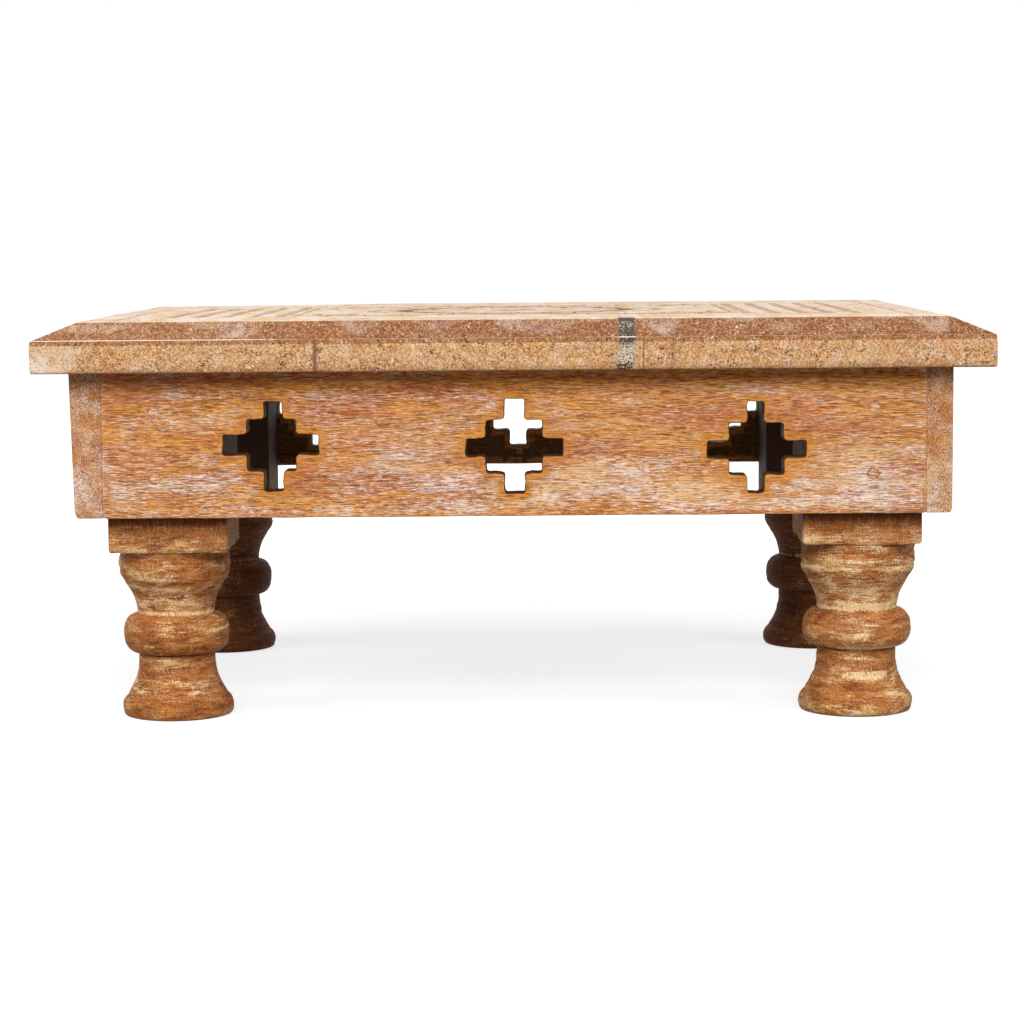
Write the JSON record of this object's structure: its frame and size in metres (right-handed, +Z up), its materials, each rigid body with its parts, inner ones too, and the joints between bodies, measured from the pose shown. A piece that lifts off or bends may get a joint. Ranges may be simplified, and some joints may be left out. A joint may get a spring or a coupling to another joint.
{
  "type": "low table",
  "caption": "Rectangular low wooden table with a carved bevelled top, aprons pierced with stepped crosses and short turned legs.",
  "frame": {"origin": "on the floor, under the middle of the table", "axes": "+X along the table's width, to the right as seen from the front; +Y towards the back; +Z up"},
  "size_m": [0.6, 0.45, 0.258],
  "materials": {
    "top_wood": "pale limewashed, carved, matt",
    "apron_wood": "orange-brown with lime left in the grain, satin",
    "leg_wood": "brown with rubbed pale edges, satin",
    "cleat_wood": "plain sawn wood",
    "plug_wood": "filled and rubbed, matt",
    "screw_steel": "plain steel"
  },
  "bodies": {
    "root": {"top_board_left": "top_wood", "top_board_centre": "top_wood", "top_board_right": "top_wood", "apron_front": "apron_wood", "apron_back": "apron_wood", "apron_left": "apron_wood", "apron_right": "apron_wood", "leg_front_left": "leg_wood", "leg_front_right": "leg_wood", "leg_back_left": "leg_wood", "leg_back_right": "leg_wood", "cleat_front": "cleat_wood", "cleat_back": "cleat_wood", "cleat_left": "cleat_wood", "cleat_right": "cleat_wood", "leg_screw_front_1": "screw_steel", "leg_screw_front_2": "screw_steel", "leg_screw_front_3": "screw_steel", "leg_screw_front_4": "screw_steel", "leg_screw_back_1": "screw_steel", "leg_screw_back_2": "screw_steel", "leg_screw_back_3": "screw_steel", "leg_screw_back_4": "screw_steel", "leg_screw_left_1": "screw_steel", "leg_screw_left_2": "screw_steel", "leg_screw_left_3": "screw_steel", "leg_screw_left_4": "screw_steel", "leg_screw_right_1": "screw_steel", "leg_screw_right_2": "screw_steel", "leg_screw_right_3": "screw_steel", "leg_screw_right_4": "screw_steel", "screw_plug_front_1": "plug_wood", "screw_plug_front_2": "plug_wood", "screw_plug_front_3": "plug_wood", "screw_plug_front_4": "plug_wood", "screw_plug_back_1": "plug_wood", "screw_plug_back_2": "plug_wood", "screw_plug_back_3": "plug_wood", "screw_plug_back_4": "plug_wood", "screw_plug_left_1": "plug_wood", "screw_plug_left_2": "plug_wood", "screw_plug_left_3": "plug_wood", "screw_plug_left_4": "plug_wood", "screw_plug_right_1": "plug_wood", "screw_plug_right_2": "plug_wood", "screw_plug_right_3": "plug_wood", "screw_plug_right_4": "plug_wood", "cleat_screw_front_1": "screw_steel", "cleat_screw_front_2": "screw_steel", "cleat_screw_front_3": "screw_steel", "cleat_screw_back_1": "screw_steel", "cleat_screw_back_2": "screw_steel", "cleat_screw_back_3": "screw_steel", "cleat_screw_left_1": "screw_steel", "cleat_screw_left_2": "screw_steel", "cleat_screw_right_1": "screw_steel", "cleat_screw_right_2": "screw_steel"}
  },
  "joints": []
}
